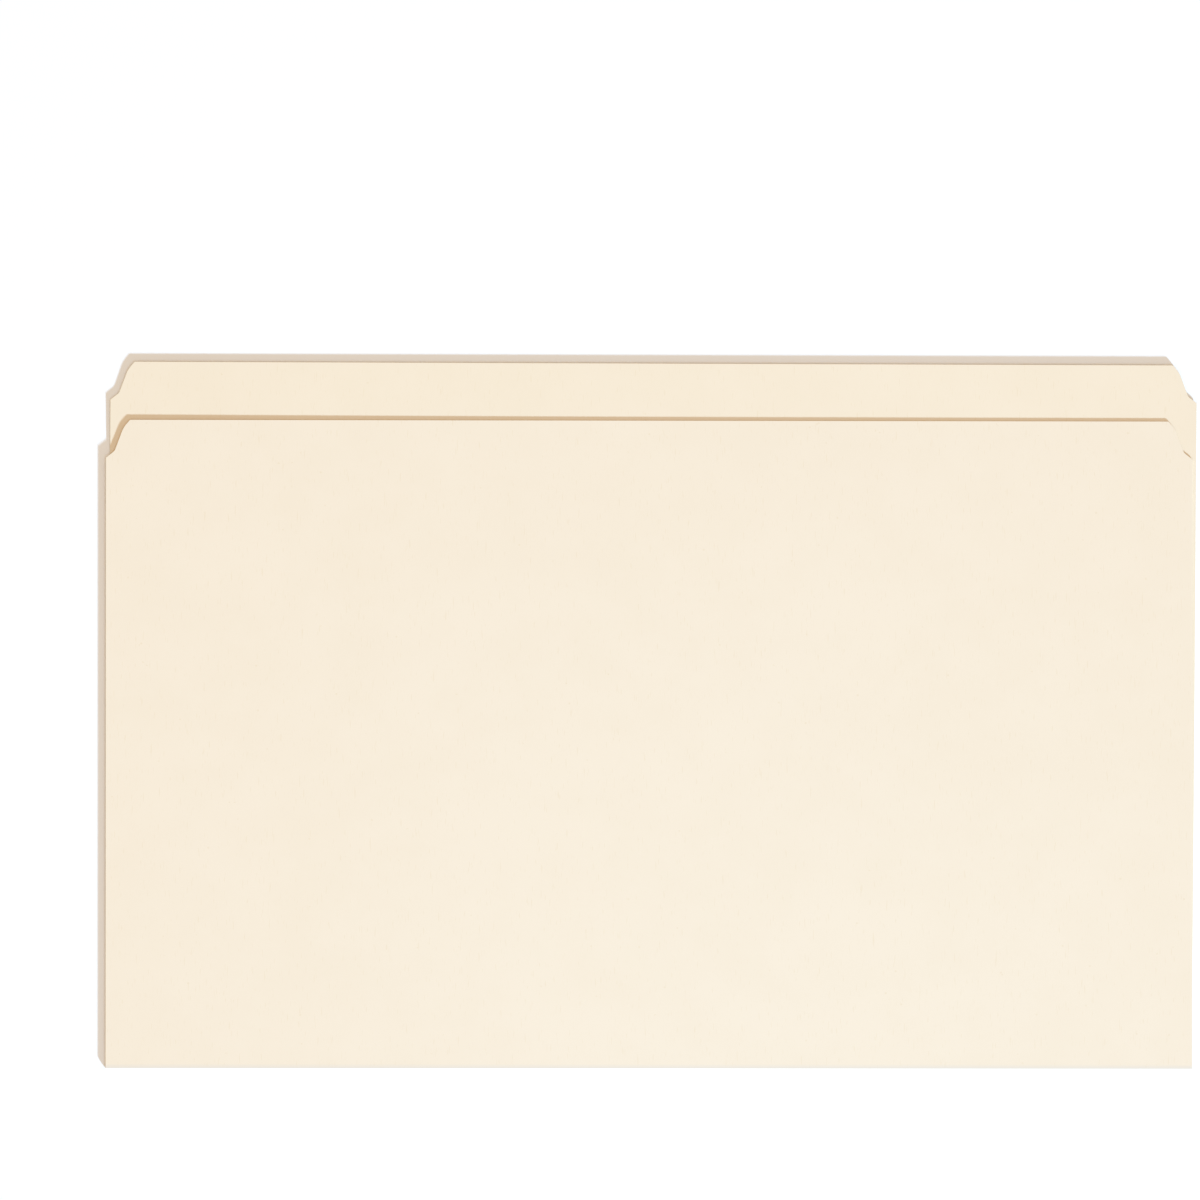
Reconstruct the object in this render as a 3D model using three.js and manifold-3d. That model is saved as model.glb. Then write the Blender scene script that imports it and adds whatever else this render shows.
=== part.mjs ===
// A legal-size manila file folder with a full-width tab, lying closed on its back leaf.
// Millimetres. X runs along the fold, +Y from the fold to the tab, +Z up from the table.
//
// The folder is one die-cut sheet of board. Its fold lines divide it into stiff panels:
// back leaf, expansion strips, fold spine and front leaf. Each panel is drawn flat, from
// its own fold line outwards, with the inner face of the board up, and the panels hang on
// one another in a chain of groups that are turned at the fold lines.
import * as THREE from 'three';
import { mergeVertices } from 'three/addons/utils/BufferGeometryUtils.js';
import Module from 'manifold-3d';

const wasm = await Module();
wasm.setup();

// The board and the two leaves, measured on the closed folder from the outside of the fold
const boardThickness = 0.28;
const foldLength = 374.65;
const backLeafHeight = 243.6;
const frontLeafHeight = 223.9;

// The shaped top corners: a short foot from the side edge, a steep slope and a shoulder
const cornerRun = 8.3;
const cornerDrop = 13.1;
const footRun = 3.0;
const footRise = 2.4;
const shoulderRun = 2.3;
const shoulderDrop = 2.7;
const footSoftening = 0.7;
const slopeSoftening = 1.5;
const shoulderSoftening = 0.4;
const softeningSteps = 5;

// The fold and the expansion scores beside it: any of these lines can bend by a right angle
const foldClearance = 0.4;
const scoreCount = 3;
const scorePitch = 6.35;
const scoreGrooveHalfWidth = 0.3;
const largestBend = 90;
const bendSlack = 2;

// Everything below follows from the sizes above
const halfThickness = boardThickness / 2;
const foldEdgeY = -backLeafHeight / 2;
const scoredLength = scoreCount * scorePitch;
const backPanelLength = backLeafHeight - scoredLength;
const frontPanelLength = frontLeafHeight - halfThickness;
const spineLength = foldClearance + boardThickness;
const rightAngle = Math.PI / 2;

// Each panel end is bevelled from a hinge line at mid thickness, so that the board can bend
const bevel = halfThickness * Math.tan(THREE.MathUtils.degToRad((largestBend + bendSlack) / 2));
const cutEdge = { inner: 0, outer: 0 };
const creaseLine = { inner: bevel, outer: bevel };
const scoreLine = { inner: bevel, outer: scoreGrooveHalfWidth };

// The section of a panel across its fold line: x is the distance from that line, y the height
function panelSection(length, nearLine, farLine) {
  return new THREE.Shape([
    new THREE.Vector2(0, 0),
    new THREE.Vector2(nearLine.outer, -halfThickness),
    new THREE.Vector2(length - farLine.outer, -halfThickness),
    ...(farLine === cutEdge ? [] : [new THREE.Vector2(length, 0)]),
    new THREE.Vector2(length - farLine.inner, halfThickness),
    new THREE.Vector2(nearLine.inner, halfThickness),
  ]);
}

// A section drawn across the fold line becomes a panel along it, the full length of the fold
function panelGeometry(section) {
  const geometry = new THREE.ExtrudeGeometry(section, { depth: foldLength, bevelEnabled: false });
  const across = new THREE.Vector3(0, 1, 0);
  const up = new THREE.Vector3(0, 0, 1);
  const along = new THREE.Vector3(1, 0, 0);
  geometry.applyMatrix4(new THREE.Matrix4().makeBasis(across, up, along));
  geometry.translate(-foldLength / 2, 0, 0);
  return geometry;
}

// Draws straight runs between the points, with each marked point rounded off
function softPath(shape, points) {
  points.forEach((point, index) => {
    const place = new THREE.Vector2(point.x, point.y);
    if (!point.soft) {
      shape.lineTo(place.x, place.y);
      return;
    }
    const before = points[index - 1];
    const after = points[index + 1];
    const toBefore = new THREE.Vector2(before.x, before.y).sub(place).setLength(point.soft);
    const toAfter = new THREE.Vector2(after.x, after.y).sub(place).setLength(point.soft);
    shape.lineTo(place.x + toBefore.x, place.y + toBefore.y);
    shape.quadraticCurveTo(place.x, place.y, place.x + toAfter.x, place.y + toAfter.y);
  });
}

// The die-cut outline of a leaf: square at its fold line, shaped at both top corners
function leafOutline(length) {
  const side = foldLength / 2;
  const corner = [
    { x: side, y: length - cornerDrop },
    { x: side - footRun, y: length - cornerDrop + footRise, soft: footSoftening },
    { x: side - cornerRun + shoulderRun, y: length - shoulderDrop, soft: slopeSoftening },
    { x: side - cornerRun, y: length, soft: shoulderSoftening },
  ];
  const mirrored = corner.map((point) => ({ ...point, x: -point.x })).reverse();
  const outline = new THREE.Shape();
  outline.moveTo(-side, 0);
  softPath(outline, [{ x: side, y: 0 }, ...corner, ...mirrored]);
  outline.closePath();
  return outline;
}

// A closed solid for the boolean library, from a geometry
function toSolid(geometry) {
  const bare = geometry.index ? geometry.toNonIndexed() : geometry.clone();
  bare.deleteAttribute('normal');
  bare.deleteAttribute('uv');
  const merged = mergeVertices(bare, 1e-5);
  return new wasm.Manifold(new wasm.Mesh({
    numProp: 3,
    vertProperties: new Float32Array(merged.attributes.position.array),
    triVerts: new Uint32Array(merged.index.array),
  }));
}

// A geometry from a solid of the boolean library
function toGeometry(solid) {
  const mesh = solid.getMesh();
  const geometry = new THREE.BufferGeometry();
  geometry.setAttribute('position', new THREE.BufferAttribute(mesh.vertProperties, mesh.numProp));
  geometry.setIndex(new THREE.BufferAttribute(mesh.triVerts, 1));
  geometry.computeVertexNormals();
  return geometry;
}

// A leaf is its panel, cut to the die's outline
function leafGeometry(length, nearLine) {
  const panel = panelGeometry(panelSection(length, nearLine, cutEdge));
  const die = new THREE.ExtrudeGeometry(leafOutline(length), {
    depth: 2 * boardThickness,
    bevelEnabled: false,
    curveSegments: softeningSteps,
  });
  die.translate(0, 0, -boardThickness);
  return toGeometry(toSolid(panel).intersect(toSolid(die)));
}

function manilaBoard(color) {
  return new THREE.MeshStandardMaterial({ color, roughness: 0.85, metalness: 0 });
}

function addPanel(parent, name, geometry, color) {
  const panel = new THREE.Mesh(geometry, manilaBoard(color));
  panel.name = name;
  parent.add(panel);
}

// The rest of the sheet beyond a fold line, turned towards the inner face by the bend there
function beyondFoldLine(parent, distance, bend) {
  const next = new THREE.Group();
  next.position.y = distance;
  next.rotation.x = bend;
  parent.add(next);
  return next;
}

function addBackLeaf(folder) {
  const leaf = new THREE.Group();
  leaf.position.set(0, foldEdgeY + scoredLength, halfThickness);
  addPanel(leaf, 'back_leaf', leafGeometry(backPanelLength, scoreLine), 0xf1e4c6);
  folder.add(leaf);
}

// The strips between the scores lead from the back leaf to the fold, the last one narrower
// by the half thickness that the bend at the fold takes up
function addExpansionStrips(folder) {
  let sheet = new THREE.Group();
  sheet.position.set(0, foldEdgeY + scoredLength, halfThickness);
  sheet.rotation.z = Math.PI;
  folder.add(sheet);
  for (let strip = scoreCount; strip >= 1; strip -= 1) {
    const width = strip === 1 ? scorePitch - halfThickness : scorePitch;
    const farLine = strip === 1 ? creaseLine : scoreLine;
    const geometry = panelGeometry(panelSection(width, scoreLine, farLine));
    addPanel(sheet, `expansion_strip_${strip}`, geometry, 0xeddfbf);
    sheet = beyondFoldLine(sheet, width, strip === 1 ? rightAngle : 0);
  }
  return sheet;
}

function addFoldSpine(sheet) {
  const geometry = panelGeometry(panelSection(spineLength, creaseLine, creaseLine));
  addPanel(sheet, 'fold_spine', geometry, 0xe9dab8);
  return beyondFoldLine(sheet, spineLength, rightAngle);
}

function addFrontLeaf(sheet) {
  addPanel(sheet, 'front_leaf', leafGeometry(frontPanelLength, creaseLine), 0xf5e9ce);
}

const folder = new THREE.Group();
addBackLeaf(folder);
addFrontLeaf(addFoldSpine(addExpansionStrips(folder)));

export default folder;
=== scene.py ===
"""A legal-size manila file folder, closed on a white table and seen from straight above."""
import math

import bpy
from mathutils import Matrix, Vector


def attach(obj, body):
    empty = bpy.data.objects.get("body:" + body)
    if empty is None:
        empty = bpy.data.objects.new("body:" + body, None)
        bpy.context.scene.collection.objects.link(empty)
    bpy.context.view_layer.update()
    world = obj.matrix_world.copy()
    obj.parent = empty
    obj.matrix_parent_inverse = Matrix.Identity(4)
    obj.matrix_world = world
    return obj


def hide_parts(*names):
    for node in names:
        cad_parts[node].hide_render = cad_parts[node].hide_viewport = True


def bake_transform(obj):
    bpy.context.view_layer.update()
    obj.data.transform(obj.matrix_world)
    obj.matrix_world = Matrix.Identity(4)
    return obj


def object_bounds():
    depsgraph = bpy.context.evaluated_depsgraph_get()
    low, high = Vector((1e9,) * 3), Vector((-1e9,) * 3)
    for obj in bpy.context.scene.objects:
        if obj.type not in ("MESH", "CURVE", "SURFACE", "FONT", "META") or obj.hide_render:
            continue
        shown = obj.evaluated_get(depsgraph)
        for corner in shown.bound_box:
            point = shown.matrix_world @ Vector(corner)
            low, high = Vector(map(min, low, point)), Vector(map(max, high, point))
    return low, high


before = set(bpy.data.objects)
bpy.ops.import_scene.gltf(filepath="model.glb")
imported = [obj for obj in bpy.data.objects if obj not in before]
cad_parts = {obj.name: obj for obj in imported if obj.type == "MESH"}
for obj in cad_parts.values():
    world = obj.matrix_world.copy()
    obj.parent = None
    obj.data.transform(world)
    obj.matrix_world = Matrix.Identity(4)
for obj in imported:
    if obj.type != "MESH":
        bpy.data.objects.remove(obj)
cad_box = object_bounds()

MM = 0.001

# The sheet of board in millimetres: its outer sizes are those of the frame
LOW, HIGH = ([value / MM for value in corner] for corner in cad_box)
BOARD = 0.28
HALF = BOARD / 2
SIDE = HIGH[0]
FOLD_Y = LOW[1] + HALF
SCORE_PITCH = 6.35
SCORE_Y = tuple(LOW[1] + SCORE_PITCH * number for number in (3, 2, 1))
BACK_LENGTH = HIGH[1] - SCORE_Y[0]
FRONT_HEIGHT = 223.9
FRONT_LENGTH = FRONT_HEIGHT - HALF

# The rounded fold: how far apart it holds the two leaves, and how deep it bulges
FOLD_HEIGHT = HIGH[2] - BOARD
FOLD_DEPTH = 0.45
FOLD_STEPS = 16
FOLD_START = FOLD_Y + FOLD_DEPTH
FOLD_MIDDLE = HALF + FOLD_HEIGHT / 2
FOLD_TOP = HALF + FOLD_HEIGHT

# The shaped top corners: a short foot from the side edge, a steep slope and a shoulder. Each
# of their points is (in from the side edge, down from the top edge, how much it is rounded off)
CORNER_RUN = 8.3
CORNER_DROP = 13.1
FOOT_RUN = 3.0
FOOT_RISE = 2.4
SHOULDER_RUN = 2.3
SHOULDER_DROP = 2.7
CORNER_POINTS = ((FOOT_RUN, CORNER_DROP - FOOT_RISE, 0.7),
                 (CORNER_RUN - SHOULDER_RUN, SHOULDER_DROP, 1.5),
                 (CORNER_RUN, 0.0, 0.4))
CORNER_END = 30.0
CORNER_STEPS = 7
LONGEST_CORNER_STEP = 0.8

# The cut edges are rounded by this much, and each face is divided into these columns and rows
CUT_ROUNDING = 0.05
ROUNDING_STEPS = 3
WIDE_COLUMNS = 52
EDGE_COLUMNS = (0.05, 0.15, 0.5, 1.5)
COLUMNS = WIDE_COLUMNS + 2 * len(EDGE_COLUMNS)
LEAF_ROWS = 44
EDGE_ROWS = (0.12, 0.05, 0.0)
STRIP_ROWS = 6
SHARPEST_SMOOTH_ANGLE = 40

# The pressed score lines, and the width over which the third one bends
SCORE_HALF_WIDTH = 0.42
INNER_PRESS = 0.035
OUTER_PRESS = 0.02
SCORE_ROWS = (0.07, 0.14, 0.21, 0.28, 0.35, 0.42, 0.5, 0.6)

# The front leaf is worn and painted with shade from the fold to here, with fine rows
CREASE_AND_SHADE_WIDTH = 1.5
CREASE_AND_SHADE_ROWS = (0.05, 0.15, 0.3, 0.6, 1.0, 1.5, 2.2)

# How far the grain of the board runs on round the fold, and how its thickness is stretched
FOLD_GRAIN = 1.2
FRONT_GRAIN = 0.9
THICKNESS_GRAIN = 3

# How the leaves spring: the back leaf lifts at its tab and leans to the right, the front leaf
# comes down at its free edge and springs up at its left corner
TAB_LIFT = 0.45
TAB_LIFT_FROM = 140.0
TAB_CURL = 1.8
TAB_LEFT_SAG = 0.15
LEAF_LEAN = 0.0068
LEAN_CURVE = 0.8
LEAF_SLOPE = 0.0029
FRONT_SLOPE = 0.0010
FRONT_DROP = 0.11
FRONT_CURL = 1.5
LEFT_SPRING = 0.13
LEFT_CURL = 3


def falloff(distance):
    """1 in the middle of a pressed line and 0 beyond its half width."""
    share = min(abs(distance) / SCORE_HALF_WIDTH, 1.0)
    return 0.5 + 0.5 * math.cos(math.pi * share)


def leftness(x):
    """0 at the right side edge and 1 at the left one."""
    return (1 - x / SIDE) / 2


def back_shape(x, y):
    """Where a point of the flat back leaf really lies: sideways, along and up."""
    reach = max(0.0, y - SCORE_Y[0])
    share = reach / BACK_LENGTH
    lift = max(0.0, reach - TAB_LIFT_FROM) / (BACK_LENGTH - TAB_LIFT_FROM)
    up = TAB_LIFT * lift ** TAB_CURL * (1 - TAB_LEFT_SAG * leftness(x))
    return LEAF_LEAN * BACK_LENGTH * share ** LEAN_CURVE, -LEAF_SLOPE * x * share, up


def front_shape(x, y):
    """The same for the front leaf."""
    share = max(0.0, (y - FOLD_START) / FRONT_LENGTH)
    up = share ** FRONT_CURL * (LEFT_SPRING * leftness(x) ** LEFT_CURL - FRONT_DROP)
    return 0.0, -FRONT_SLOPE * x * share, up


def still(x, y):
    """A part of the sheet that lies as the frame has it."""
    return 0.0, 0.0, 0.0


def corner_outline(length):
    """Half widths and reaches of a leaf's die-cut corner, from the side edge to the top edge."""
    points = [(SIDE, length - CORNER_DROP, 0.0)]
    points += [(SIDE - across, length - down, soft) for across, down, soft in CORNER_POINTS]
    points.append((SIDE - CORNER_END, length, 0.0))
    outline = [points[0][:2]]
    for before, place, after in zip(points, points[1:], points[2:]):
        outline += rounded_point(before, place, after)
    fine = [outline[0]]
    for start, end in zip(outline, outline[1:]):
        count = max(1, math.ceil(math.dist(start, end) / LONGEST_CORNER_STEP))
        fine += [tuple(start[i] + (end[i] - start[i]) * k / count for i in (0, 1))
                 for k in range(1, count + 1)]
    return fine


def rounded_point(before, place, after):
    """The curve that rounds off one point of an outline."""
    ends = []
    for other in (before, after):
        share = place[2] / math.hypot(other[0] - place[0], other[1] - place[1])
        ends.append([place[i] + (other[i] - place[i]) * share for i in (0, 1)])
    curve = []
    for step in range(CORNER_STEPS + 1):
        t = step / CORNER_STEPS
        curve.append(tuple((1 - t) ** 2 * ends[0][i] + 2 * t * (1 - t) * place[i]
                           + t * t * ends[1][i] for i in (0, 1)))
    return curve


def width_at(outline, reach):
    """The half width of a die-cut outline at a reach."""
    for (wide, low), (narrow, high) in zip(outline, outline[1:]):
        if low <= reach < high:
            return wide + (narrow - wide) * (reach - low) / (high - low)
    return outline[-1][0]


def leaf_rows(length):
    """(reach, half width, half thickness) from a leaf's fold line to its free edge."""
    corner = corner_outline(length - CUT_ROUNDING)
    first = corner[0][1]
    width, last = corner[-1]
    rows = [(first * k / LEAF_ROWS, SIDE, HALF) for k in range(LEAF_ROWS)]
    rows += [(reach, wide, HALF) for wide, reach in corner if reach < last - EDGE_ROWS[0]]
    rows += [(last - inset, width_at(corner, last - inset), HALF) for inset in EDGE_ROWS]
    for step in range(1, ROUNDING_STEPS + 1):
        turn = math.pi / 2 * step / ROUNDING_STEPS
        inset = CUT_ROUNDING * (1 - math.cos(turn))
        rows.append((length - CUT_ROUNDING * (1 - math.sin(turn)), width - inset, HALF - inset))
    return rows


def cross_section(width, inner, outer):
    """The closed loop of one row: (x, offset towards the inner face, how much it is cut edge)."""
    flat = width - CUT_ROUNDING
    wide = flat - EDGE_COLUMNS[-1]
    beside = [flat] + [flat - inset for inset in EDGE_COLUMNS[:-1]]
    middle = [wide * (2 * k / WIDE_COLUMNS - 1) for k in range(WIDE_COLUMNS + 1)]
    spread = [-x for x in beside] + middle + beside[::-1]
    inside = [(x, inner, 0.0) for x in spread]
    outside = [(x, -outer, 0.0) for x in reversed(spread)]
    turns = [math.pi / 2 * k / ROUNDING_STEPS for k in range(1, ROUNDING_STEPS + 1)]
    upper = [(flat + CUT_ROUNDING * math.sin(a), inner - CUT_ROUNDING * (1 - math.cos(a)), 1.0)
             for a in turns]
    lower = [(flat + CUT_ROUNDING * math.sin(a), -outer + CUT_ROUNDING * (1 - math.cos(a)), 1.0)
             for a in reversed(turns)]
    edge = upper + lower
    return inside + edge + outside + [(-x, off, cut) for x, off, cut in reversed(edge)]


def end_cap(loop_size):
    """The faces that close the end of a board, as indexes into its loop."""
    arc = 2 * ROUNDING_STEPS
    inside = list(range(COLUMNS + 1))
    outside = list(range(2 * COLUMNS + 1 + arc, COLUMNS + arc, -1))
    rings = [(inside[k], inside[k + 1], outside[k + 1], outside[k]) for k in range(COLUMNS)]
    right = list(range(COLUMNS, COLUMNS + arc + 2))
    left = [(2 * COLUMNS + 1 + arc + k) % loop_size for k in range(arc + 2)]
    return rings + [tuple(right), tuple(left)]


def loft_faces(row_count, loop_size):
    """The faces between the rows of a board, and those that close its two ends."""
    faces = []
    for row in range(row_count - 1):
        here = row * loop_size
        for k in range(loop_size):
            after = (k + 1) % loop_size
            faces.append((here + k, here + after, here + loop_size + after, here + loop_size + k))
    last = (row_count - 1) * loop_size
    for ring in end_cap(loop_size):
        faces.append(tuple(reversed(ring)))
    for ring in end_cap(loop_size):
        faces.append(tuple(last + k for k in ring))
    return faces


def board(name, rows, shape, material):
    """A closed length of the sheet, lofted through its rows. A row is (y, z, normal y, normal z,
    half width, inner half thickness, outer half thickness, place along the sheet, worn crease and
    painted fold shade, cut)."""
    verts, places, cuts, crease_and_shade_values = [], [], [], []
    for y, z, ny, nz, width, inner, outer, along, crease_and_shade, cut_row in rows:
        for x, off, cut in cross_section(width, inner, outer):
            dx, dy, dz = shape(x, y)
            verts.append((MM * (x + dx), MM * (y + off * ny + dy), MM * (z + off * nz + dz)))
            places += (MM * x, MM * along, MM * off * THICKNESS_GRAIN)
            cuts.append(max(cut, cut_row))
            crease_and_shade_values.append(crease_and_shade)
    mesh = bpy.data.meshes.new(name)
    mesh.from_pydata(verts, [], loft_faces(len(rows), len(verts) // len(rows)))
    mesh.validate()
    place = mesh.attributes.new("sheet_place", "FLOAT_VECTOR", "POINT")
    place.data.foreach_set("vector", places)
    for label, values in (("cut_edge", cuts), ("fold_crease_and_painted_shade", crease_and_shade_values)):
        attribute = mesh.attributes.new(label, "FLOAT", "POINT")
        attribute.data.foreach_set("value", values)
    mesh.materials.append(material)
    mesh.shade_smooth()
    mesh.set_sharp_from_angle(angle=math.radians(SHARPEST_SMOOTH_ANGLE))
    piece = bpy.data.objects.new(name, mesh)
    bpy.context.scene.collection.objects.link(piece)
    return piece


def flat_row(y, z, up, width, inner, outer, along, crease_and_shade=0.0, cut=0.0):
    """A row of a level board, its inner face up (up=1) or down (up=-1)."""
    return (y, z, 0.0, float(up), width, inner, outer, along, crease_and_shade, cut)


def pressed(y):
    """(inner, outer) half thickness of the scored stretch at a place."""
    depth = max(falloff(y - score) for score in SCORE_Y)
    return HALF - INNER_PRESS * depth, HALF - OUTER_PRESS * depth


def back_leaf_rows():
    rows = []
    for reach, width, half in reversed(leaf_rows(BACK_LENGTH)):
        y = SCORE_Y[0] + reach
        if reach > SCORE_ROWS[-1]:
            cut = 1.0 if half < HALF else 0.0
            rows.append(flat_row(y, HALF, 1, width, half, half, y, 0.0, cut))
    for reach in (*reversed(SCORE_ROWS), 0.0):
        y = SCORE_Y[0] + reach
        rows.append(flat_row(y, HALF, 1, SIDE, *pressed(y), y))
    return rows


def strip_rows(start, end):
    """A strip from one score to the next line, with fine rows beside the pressed lines."""
    places = {start, end}
    places |= {start - d for d in SCORE_ROWS}
    places |= {end + d for d in SCORE_ROWS}
    places |= {start + (end - start) * k / STRIP_ROWS for k in range(1, STRIP_ROWS)}
    return [flat_row(y, HALF, 1, SIDE, *pressed(y), y)
            for y in sorted(places, reverse=True) if end <= y <= start]


def fold_rows(first, last):
    """The board bends round the fold: 0 is its lower tangent, 1 its outermost line, 2 its upper."""
    rows = []
    for step in range(FOLD_STEPS + 1):
        quarter = first + (last - first) * step / FOLD_STEPS
        turn = math.pi / 2 * quarter
        y = FOLD_Y + FOLD_DEPTH * (1 - math.sin(turn))
        z = FOLD_MIDDLE - FOLD_HEIGHT / 2 * math.cos(turn)
        ty, tz = -FOLD_DEPTH * math.cos(turn), FOLD_HEIGHT / 2 * math.sin(turn)
        size = math.hypot(ty, tz)
        along = FOLD_Y - FOLD_GRAIN * (quarter - 1)
        # The whole fold is worn and painted with shade
        rows.append((y, z, tz / size, -ty / size, SIDE, HALF, HALF, along, 1.0, 0.0))
    return rows


def front_row(y, width, half, cut):
    """A row of the front leaf, worn and painted with shade beside the fold."""
    crease_and_shade = max(0.0, 1 - (y - FOLD_START) / CREASE_AND_SHADE_WIDTH)
    along = 2 * FOLD_Y - y - FRONT_GRAIN
    return flat_row(y, FOLD_TOP, -1, width, half, half, along, crease_and_shade, cut)


def front_leaf_rows():
    rows = [front_row(FOLD_START + extra, SIDE, HALF, 0.0) for extra in CREASE_AND_SHADE_ROWS]
    for reach, width, half in leaf_rows(FRONT_LENGTH):
        cut = 1.0 if half < HALF else 0.0
        rows.append(front_row(max(FOLD_Y + reach, FOLD_START), width, half, cut))
    return sorted(rows, key=lambda row: row[0])


def link(tree, source, target):
    tree.links.new(source, target)


def node(tree, kind, **values):
    made = tree.nodes.new(kind)
    for key, value in values.items():
        setattr(made, key, value)
    return made


def math_node(tree, operation, first, second, clamp=False):
    made = node(tree, "ShaderNodeMath", operation=operation, use_clamp=clamp)
    for socket, value in zip(made.inputs, (first, second)):
        if isinstance(value, (int, float)):
            socket.default_value = value
        else:
            link(tree, value, socket)
    return made.outputs[0]


def part_of(tree, value, share):
    return math_node(tree, "MULTIPLY", value, share)


def noise(tree, place, scale, detail=2.0, rough=0.5):
    made = node(tree, "ShaderNodeTexNoise")
    made.inputs["Scale"].default_value = scale
    made.inputs["Detail"].default_value = detail
    made.inputs["Roughness"].default_value = rough
    link(tree, place, made.inputs["Vector"])
    return made.outputs["Fac"]


def stretched(tree, place, along, across, turn):
    made = node(tree, "ShaderNodeMapping")
    made.inputs["Scale"].default_value = (along, across, 1.0)
    made.inputs["Rotation"].default_value = (0.0, 0.0, turn)
    link(tree, place, made.inputs["Vector"])
    return made.outputs["Vector"]


def ramp(tree, value, low, high):
    made = node(tree, "ShaderNodeMapRange", interpolation_type="SMOOTHSTEP")
    made.inputs["From Min"].default_value = low
    made.inputs["From Max"].default_value = high
    link(tree, value, made.inputs["Value"])
    return made.outputs["Result"]


def mixed(tree, factor, first, second):
    """A mix of two colors: the node's color sockets are its seventh and eighth."""
    made = node(tree, "ShaderNodeMix", data_type="RGBA")
    link(tree, factor, made.inputs[0])
    link(tree, first, made.inputs[6])
    link(tree, second, made.inputs[7])
    return made.outputs[2]


# The texture of the board. A scale is in patterns per metre, and a thread is (turn, scale)
CLOUD_SCALE = 55.0
BROAD_CLOUD_SCALE = 11.0
CLOUD_LIMITS = (0.36, 0.64)
FELT_SCALE = 1500.0
CUT_FIBRE_SCALE = 3000.0
THREADS = ((0.15, 1.0), (0.85, 1.3), (-0.6, 1.1), (1.45, 0.9))
THREAD_WIDTH_SCALE = 1500.0
THREAD_LENGTH_SCALE = 180.0
THREAD_LIMITS = (0.68, 0.78)
SPECK_SCALE = 420.0
SPECK_SIZE = 0.16
SPECK_PATCH_SCALE = 300.0
SPECK_RARENESS = 0.74

# How far each mask takes the board towards its shade
CLOUD_STRENGTH = 0.5
FIBRE_STRENGTH = 0.3
SPECK_STRENGTH = 0.35
CREASE_AND_SHADE_STRENGTH = 0.8
CUT_STRENGTH = 0.8

# Its roughness and relief, and what the clouds, threads and cut edges add to them
ROUGHNESS = 0.8
CLOUD_ROUGHNESS = 0.14
CUT_ROUGHNESS = 0.15
FELT_HEIGHT = 0.6
THREAD_HEIGHT = 0.4
RELIEF_HEIGHT = 0.003 * MM


def board_clouds(tree, place):
    """(fine clouds, the mask of the cloudy places)"""
    cloud = noise(tree, place, CLOUD_SCALE, 4.0, 0.6)
    broad = noise(tree, place, BROAD_CLOUD_SCALE, 2.0, 0.5)
    mottle = math_node(tree, "ADD", part_of(tree, cloud, 0.6), part_of(tree, broad, 0.4))
    return cloud, ramp(tree, mottle, *CLOUD_LIMITS)


def board_threads(tree, place):
    """The mask of the long fibres, which lie in several directions."""
    threads = None
    for turn, scale in THREADS:
        way = stretched(tree, place, THREAD_WIDTH_SCALE * scale, THREAD_LENGTH_SCALE * scale, turn)
        thread = ramp(tree, noise(tree, way, 1.0, 1.0), *THREAD_LIMITS)
        threads = math_node(tree, "MAXIMUM", threads, thread) if threads else thread
    return threads


def board_specks(tree, place):
    """The mask of a few small specks."""
    speck = node(tree, "ShaderNodeTexVoronoi")
    speck.inputs["Scale"].default_value = SPECK_SCALE
    link(tree, place, speck.inputs["Vector"])
    patch = noise(tree, place, SPECK_PATCH_SCALE, 0.0)
    chosen = math_node(tree, "GREATER_THAN", patch, SPECK_RARENESS)
    dot = math_node(tree, "LESS_THAN", speck.outputs["Distance"], SPECK_SIZE)
    return math_node(tree, "MULTIPLY", dot, chosen)


def manila_group():
    """Manila tag board: cloudy formation, felt, fibres and a few specks, with the fold and cut-edge
    shades partly painted shade.
    """
    tree = bpy.data.node_groups.new("manila_board", "ShaderNodeTree")
    sockets = [("Place", "INPUT", "Vector")]
    sockets += [(label, "INPUT", "Color") for label in SHADE_LABELS]
    sockets += [("Cut edge", "INPUT", "Float"), ("Fold crease and painted shade", "INPUT", "Float")]
    sockets += [("Color", "OUTPUT", "Color"), ("Roughness", "OUTPUT", "Float"),
                ("Height", "OUTPUT", "Float")]
    for label, way, kind in sockets:
        tree.interface.new_socket(label, in_out=way, socket_type=f"NodeSocket{kind}")
    given = node(tree, "NodeGroupInput").outputs
    out = node(tree, "NodeGroupOutput").inputs
    place = given["Place"]
    cut = given["Cut edge"]
    cloud, cloudy = board_clouds(tree, place)
    threads = board_threads(tree, place)
    specks = board_specks(tree, place)

    color = given["Board"]
    # The fold and cut-edge shades darken the fold and the cut edges: partly worn crease and edge
    # tone, partly painted shade where the low lamp strikes them
    for mask, strength, shade in ((cloudy, CLOUD_STRENGTH, "Cloud"),
                                  (threads, FIBRE_STRENGTH, "Fibre"),
                                  (specks, SPECK_STRENGTH, "Fibre"),
                                  (given["Fold crease and painted shade"], CREASE_AND_SHADE_STRENGTH, "Fold"),
                                  (cut, CUT_STRENGTH, "Cut")):
        color = mixed(tree, part_of(tree, mask, strength), color, given[shade])
    link(tree, color, out["Color"])

    rough = math_node(tree, "ADD", ROUGHNESS, part_of(tree, cloud, CLOUD_ROUGHNESS))
    rough = math_node(tree, "ADD", rough, part_of(tree, cut, CUT_ROUGHNESS), clamp=True)
    link(tree, rough, out["Roughness"])

    felt = noise(tree, place, FELT_SCALE, 3.0, 0.6)
    height = math_node(tree, "ADD", part_of(tree, felt, FELT_HEIGHT),
                       part_of(tree, threads, THREAD_HEIGHT))
    cut_fibre = math_node(tree, "MULTIPLY", noise(tree, place, CUT_FIBRE_SCALE, 2.0), cut)
    link(tree, math_node(tree, "ADD", height, cut_fibre), out["Height"])
    return tree


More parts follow.
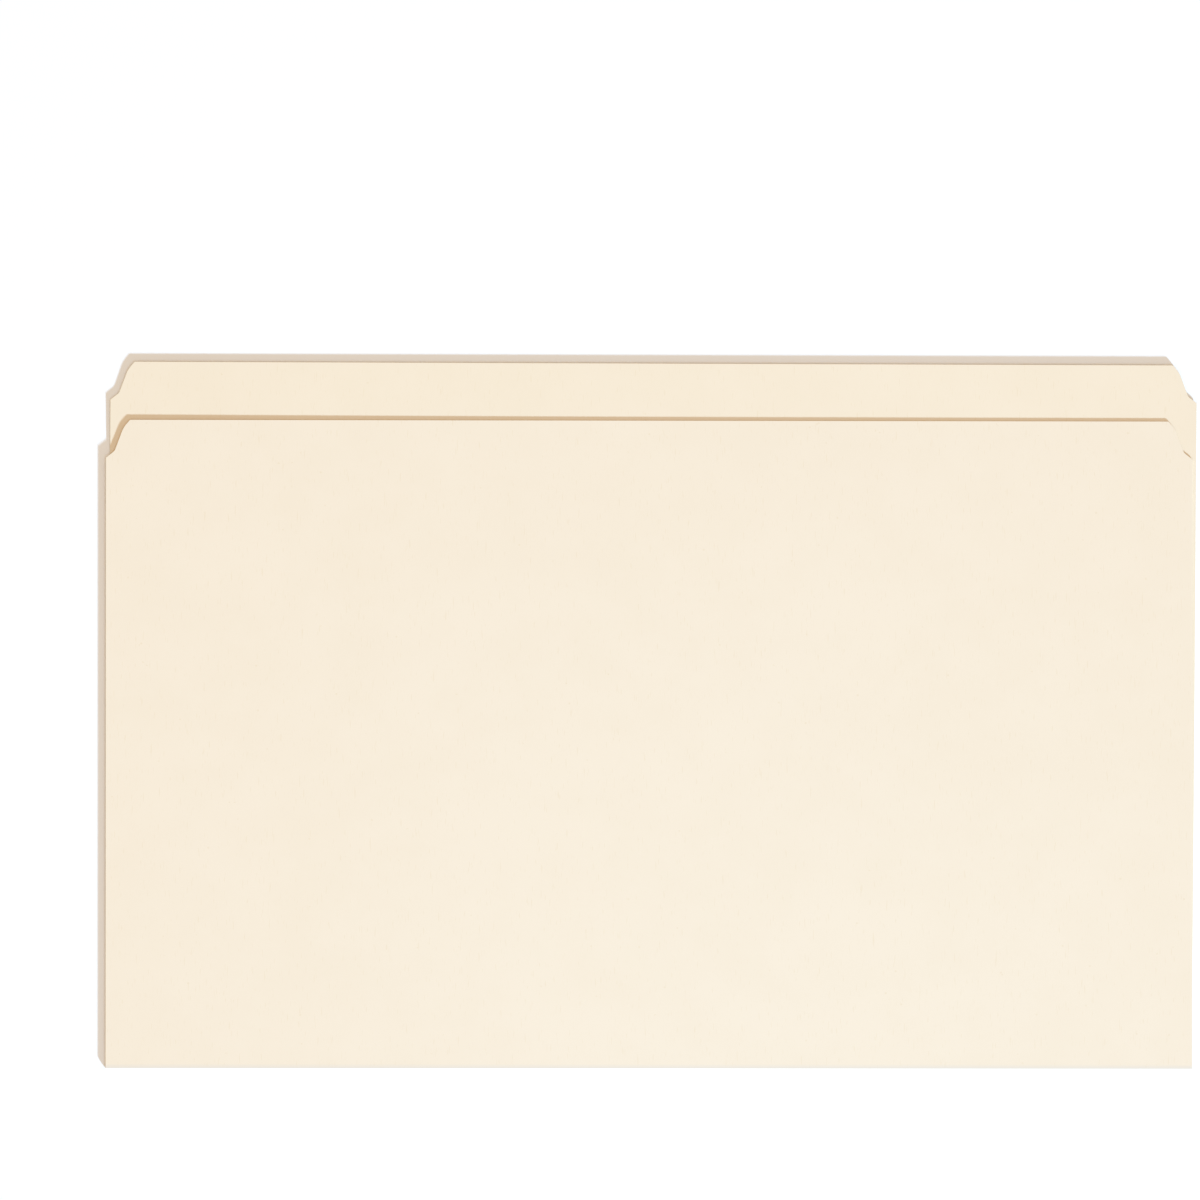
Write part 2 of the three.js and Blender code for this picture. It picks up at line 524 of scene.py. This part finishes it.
def manila(name, group, shades):
    """A finish of the board, with its shades in the order of their labels."""
    material = bpy.data.materials.new(name)
    material.use_nodes = True
    tree = material.node_tree
    shader = tree.nodes["Principled BSDF"]
    shader.inputs["Specular IOR Level"].default_value = 0.0
    grain = node(tree, "ShaderNodeGroup", node_tree=group)
    for label, shade in zip(SHADE_LABELS, shades):
        grain.inputs[label].default_value = (*shade, 1.0)
    for label, attribute, output in (("Place", "sheet_place", "Vector"),
                                     ("Cut edge", "cut_edge", "Fac"),
                                     ("Fold crease and painted shade", "fold_crease_and_painted_shade", "Fac")):
        reader = node(tree, "ShaderNodeAttribute", attribute_name=attribute)
        link(tree, reader.outputs[output], grain.inputs[label])
    relief = node(tree, "ShaderNodeBump")
    relief.inputs["Strength"].default_value = 1.0
    relief.inputs["Distance"].default_value = RELIEF_HEIGHT
    link(tree, grain.outputs["Height"], relief.inputs["Height"])
    link(tree, grain.outputs["Color"], shader.inputs["Base Color"])
    link(tree, grain.outputs["Roughness"], shader.inputs["Roughness"])
    link(tree, relief.outputs["Normal"], shader.inputs["Normal"])
    return material


# The shades of the board's faces, and of its fibres, worn fold and cut edge; the fold and cut-edge
# shades are partly painted shade
SHADE_LABELS = ("Board", "Cloud", "Fibre", "Fold", "Cut")
FIBRE = (0.81, 0.66, 0.44)
FOLD_FIBRE = (0.83, 0.69, 0.48)
# Worn crease plus painted shade: darker than the board so the rounded fold does not glare under the
# low lamp
FOLD_CREASE_AND_PAINTED_SHADE = (0.79, 0.72, 0.64)
# The cut edge's own tone plus painted shade: darker so the cut edges do not glare under the low
# lamp
CUT_TONE_AND_PAINTED_SHADE = (0.58, 0.47, 0.32)

board_group = manila_group()
front_board = manila("front_board", board_group, (
    (0.908, 0.784, 0.621), (0.888, 0.76, 0.591), FIBRE, FOLD_CREASE_AND_PAINTED_SHADE, CUT_TONE_AND_PAINTED_SHADE))
back_board = manila("back_board", board_group, (
    (0.901, 0.771, 0.597), (0.881, 0.748, 0.567), FIBRE, FOLD_CREASE_AND_PAINTED_SHADE, CUT_TONE_AND_PAINTED_SHADE))
strip_board = manila("strip_board", board_group, (
    (0.896, 0.767, 0.593), (0.876, 0.744, 0.562), FIBRE, FOLD_CREASE_AND_PAINTED_SHADE, CUT_TONE_AND_PAINTED_SHADE))
spine_board = manila("spine_board", board_group, (
    (0.911, 0.793, 0.635), (0.896, 0.774, 0.61), FOLD_FIBRE, FOLD_CREASE_AND_PAINTED_SHADE, CUT_TONE_AND_PAINTED_SHADE))


# The back leaf
back_leaf = board("back_leaf_board", back_leaf_rows(), back_shape, back_board)
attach(back_leaf, "back_leaf")
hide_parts("back_leaf")

# The expansion strips: the third one bends beside its score
strip_3 = board("expansion_strip_3_board", strip_rows(SCORE_Y[0], SCORE_Y[1]), still,
                strip_board)
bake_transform(strip_3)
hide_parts("expansion_strip_3")

for number, start, end in ((2, SCORE_Y[1], SCORE_Y[2]), (1, SCORE_Y[2], FOLD_START)):
    strip = board(f"expansion_strip_{number}_board", strip_rows(start, end), still,
                  strip_board)
    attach(strip, "bottom_panel")
    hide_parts(f"expansion_strip_{number}")

# The two halves of the rounded fold
lower_fold = board("fold_spine_lower_board", fold_rows(0, 1), still, spine_board)
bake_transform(lower_fold)
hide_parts("fold_spine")

upper_fold = board("fold_spine_upper_board", fold_rows(1, 2), still, spine_board)
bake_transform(upper_fold)

# The front leaf
front_leaf = board("front_leaf_board", front_leaf_rows(), front_shape, front_board)
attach(front_leaf, "front_leaf")
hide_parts("front_leaf")


def seen_rays(tree):
    """1 for the rays that carry what is seen, 0 for those that only carry light."""
    rays = node(tree, "ShaderNodeLightPath")
    seen = rays.outputs["Is Camera Ray"]
    for kind in ("Is Glossy Ray", "Is Transmission Ray"):
        seen = math_node(tree, "MAXIMUM", seen, rays.outputs[kind])
    return seen


# The white table
TABLE_HALF = 3.0
TABLE_GAP = 0.02 * MM
TABLE_SHADE = 0.93
TABLE_LIFT_TO_WHITE = 0.048

table_mesh = bpy.data.meshes.new("table_top")
table_mesh.from_pydata([(x * TABLE_HALF, y * TABLE_HALF, -TABLE_GAP)
                        for x, y in ((-1, -1), (1, -1), (1, 1), (-1, 1))], [], [(0, 1, 2, 3)])
table_top = bpy.data.objects.new("table_top", table_mesh)
bpy.context.scene.collection.objects.link(table_top)
table_white = bpy.data.materials.new("table_white")
table_white.use_nodes = True
table_tree = table_white.node_tree
table_shader = table_tree.nodes["Principled BSDF"].inputs
table_shader["Base Color"].default_value = (TABLE_SHADE, TABLE_SHADE, TABLE_SHADE, 1.0)
table_shader["Specular IOR Level"].default_value = 0.0
table_shader["Emission Strength"].default_value = TABLE_LIFT_TO_WHITE
link(table_tree, seen_rays(table_tree), table_shader["Emission Color"])
table_mesh.materials.append(table_white)

# A low lamp from the front right
LAMP_HEIGHT_ANGLE = 10.75
LAMP_TOWARDS = (-0.57, 0.82)
LAMP_SIZE = 3.0
LAMP_LEVEL = 6.95
LAMP_COLOR = (0.68, 1.035, 1.43)

lamp_data = bpy.data.lights.new("low_lamp", "SUN")
lamp_data.energy = LAMP_LEVEL
lamp_data.angle = math.radians(LAMP_SIZE)
lamp_data.color = LAMP_COLOR
lamp = bpy.data.objects.new("low_lamp", lamp_data)
lamp_turn = math.atan2(LAMP_TOWARDS[1], LAMP_TOWARDS[0]) - math.pi / 2
lamp.rotation_euler = (math.radians(90 - LAMP_HEIGHT_ANGLE), 0.0, lamp_turn)
bpy.context.scene.collection.objects.link(lamp)

# A weak, bluish soft lamp above the folder
SOFT_LAMP_PLACE = (0.10, -0.20, 0.45)
SOFT_LAMP_WIDTH = 0.3
SOFT_LAMP_WATTS = 0.47
SOFT_LAMP_COLOR = (0.24, 0.59, 1.0)

soft_data = bpy.data.lights.new("soft_lamp", "AREA")
soft_data.shape = "DISK"
soft_data.size = SOFT_LAMP_WIDTH
soft_data.energy = SOFT_LAMP_WATTS
soft_data.color = SOFT_LAMP_COLOR
soft_lamp = bpy.data.objects.new("soft_lamp", soft_data)
soft_lamp.location = SOFT_LAMP_PLACE
soft_lamp.rotation_euler = Vector(SOFT_LAMP_PLACE).to_track_quat("Z", "Y").to_euler()
soft_lamp.visible_camera = False
bpy.context.scene.collection.objects.link(soft_lamp)

# The room: a warm, even fill, and white where it is seen
FILL_COLOR = (0.729, 0.585, 0.43)

world = bpy.data.worlds.new("room")
bpy.context.scene.world = world
world.use_nodes = True
room = world.node_tree
fill = room.nodes["Background"]
fill.inputs["Color"].default_value = (*FILL_COLOR, 1.0)
backdrop = node(room, "ShaderNodeBackground")
backdrop.inputs["Color"].default_value = (1.0, 1.0, 1.0, 1.0)
either = node(room, "ShaderNodeMixShader")
link(room, seen_rays(room), either.inputs[0])
link(room, fill.outputs[0], either.inputs[1])
link(room, backdrop.outputs[0], either.inputs[2])
link(room, either.outputs[0], room.nodes["World Output"].inputs["Surface"])

# The camera looks straight down, with the folder low and to the right in the frame
CAMERA_PLACE = (-0.01694, 0.0402, 1.150)
CAMERA_TURN = 0.04
CAMERA_LENS = 100.0
CAMERA_SENSOR = 36.0

camera_data = bpy.data.cameras.new("camera")
camera_data.lens = CAMERA_LENS
camera_data.sensor_width = CAMERA_SENSOR
camera = bpy.data.objects.new("camera", camera_data)
camera.location = CAMERA_PLACE
camera.rotation_euler = (0.0, 0.0, math.radians(CAMERA_TURN))
bpy.context.scene.collection.objects.link(camera)
bpy.context.scene.camera = camera
bpy.context.scene.view_settings.view_transform = "Standard"
